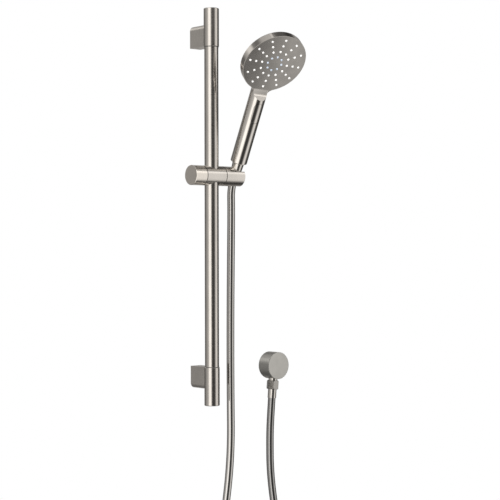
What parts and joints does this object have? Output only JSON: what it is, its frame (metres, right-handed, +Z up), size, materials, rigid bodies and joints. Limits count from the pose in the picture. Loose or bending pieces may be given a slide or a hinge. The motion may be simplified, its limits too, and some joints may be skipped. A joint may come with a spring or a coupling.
{
  "type": "rail shower set",
  "caption": "Wall rail with a sliding clamp holder, a round-faced hand shower with a push button, a metal hose and a round wall outlet elbow.",
  "frame": {"origin": "centre of the upper bracket's screw pattern, on the wall plane", "axes": "+X right along the wall as seen from the room, +Y into the wall, +Z up; the room is at negative Y"},
  "size_m": [0.2515, 0.2175, 1.1989],
  "materials": {
    "brushed_nickel": "brushed",
    "nickel_plated_plastic": "brushed nickel plating on plastic",
    "face_finish": "satin nickel plating on plastic",
    "polished_nickel": "polished nickel plating on brass",
    "stainless": "bright",
    "brass": "machined",
    "black_rubber": "moulded",
    "grey_plastic": "moulded acetal",
    "white_silicone": "soft white silicone",
    "blue_silicone": "soft grey-blue silicone",
    "hose_metal": "spiral-wound, brushed nickel"
  },
  "bodies": {
    "fixture": {"rail_tube": "brushed_nickel", "upper_end_sleeve": "brushed_nickel", "lower_end_sleeve": "brushed_nickel", "rail_end_rings": "black_rubber", "upper_bracket_cover": "brushed_nickel", "lower_bracket_cover": "brushed_nickel", "upper_wall_plate": "stainless", "lower_wall_plate": "stainless", "bracket_grub_screws": "stainless", "rail_anchor_screws": "stainless", "rail_anchor_plugs": "brass", "elbow_cover": "brushed_nickel", "elbow_gasket": "black_rubber", "elbow_core": "brass", "elbow_grub_screw": "stainless", "outlet_nipple": "brass", "check_valve_body": "grey_plastic", "check_valve_spring": "stainless", "hose_hex_nut": "polished_nickel", "outlet_washer": "black_rubber", "lower_ferrule": "polished_nickel", "hose": "hose_metal"},
    "poppet": {"check_valve_poppet": "grey_plastic"},
    "carriage": {"rail_bush": "grey_plastic"},
    "slider": {"slider_body": "brushed_nickel", "neck_ring": "black_rubber", "pivot_screw": "stainless", "tilt_friction_ring": "grey_plastic"},
    "clamp": {"clamp_shoe": "grey_plastic"},
    "knob": {"clamp_knob": "brushed_nickel", "clamp_stud": "stainless"},
    "holder": {"holder_body": "brushed_nickel", "seat_insert": "grey_plastic", "tilt_disc_springs": "stainless"},
    "hose_end": {"upper_ferrule": "polished_nickel"},
    "handset": {"cone_nut": "polished_nickel", "inlet_washer": "black_rubber", "inlet_nipple": "brass", "flow_limiter": "grey_plastic", "handset_shell": "nickel_plated_plastic", "waterway_tube": "grey_plastic", "diverter_body": "grey_plastic", "diverter_orings": "black_rubber", "head_duct": "grey_plastic", "face_plate": "face_finish", "nozzle_mat": "white_silicone", "centre_nozzle_mat": "blue_silicone", "spray_chamber": "grey_plastic", "chamber_seal": "black_rubber", "button_spring": "stainless"},
    "button": {"push_button": "nickel_plated_plastic", "diverter_spool": "grey_plastic"}
  },
  "joints": [
    {"name": "rail_slide", "type": "slide", "parent": "fixture", "child": "carriage", "axis": [0, 0, 1], "range_m": [-0.318, 0.2075], "deforming": ["hose"]},
    {"name": "slider_swivel", "type": "hinge", "parent": "carriage", "child": "slider", "pos_m": [0, -0.0465, -0.2473], "axis": [0, 0, 1], "range_deg": [-38, 22]},
    {"name": "clamp_travel", "type": "slide", "parent": "slider", "child": "clamp", "axis": [-1, 0, 0], "range_m": [0, 0.000625]},
    {"name": "knob_turn", "type": "hinge", "parent": "clamp", "child": "knob", "pos_m": [-0.034, -0.0465, -0.2473], "axis": [-1, 0, 0], "range_deg": [0, 180]},
    {"name": "holder_tilt", "type": "hinge", "parent": "slider", "child": "holder", "pos_m": [0.0425, -0.0465, -0.2473], "axis": [1, 0, 0], "range_deg": [-8, 35]},
    {"name": "handset_lift", "type": "slide", "parent": "holder", "child": "hose_end", "axis": [0, -0.4244, 0.9055], "range_m": [0, 0.045]},
    {"name": "handset_swivel", "type": "hinge", "parent": "hose_end", "child": "handset", "pos_m": [0.0519, -0.0465, -0.2473], "axis": [0, -0.4244, 0.9055], "range_deg": [-50, 60]},
    {"name": "button_press", "type": "slide", "parent": "handset", "child": "button", "axis": [0.1583, 0.8941, 0.419], "range_m": [0, 0.0015], "stiffness_N_per_m": 600, "springref_m": -0.0008, "deforming": ["button_spring"]},
    {"name": "valve_open", "type": "slide", "parent": "fixture", "child": "poppet", "axis": [-0.0872, 0, -0.9962], "range_m": [0, 0.003], "stiffness_N_per_m": 40, "springref_m": -0.001, "deforming": ["check_valve_spring"]}
  ],
  "couplings": [
    {"joint": "knob_turn", "follows": "clamp_travel", "rad_per_m": 5026.5}
  ]
}
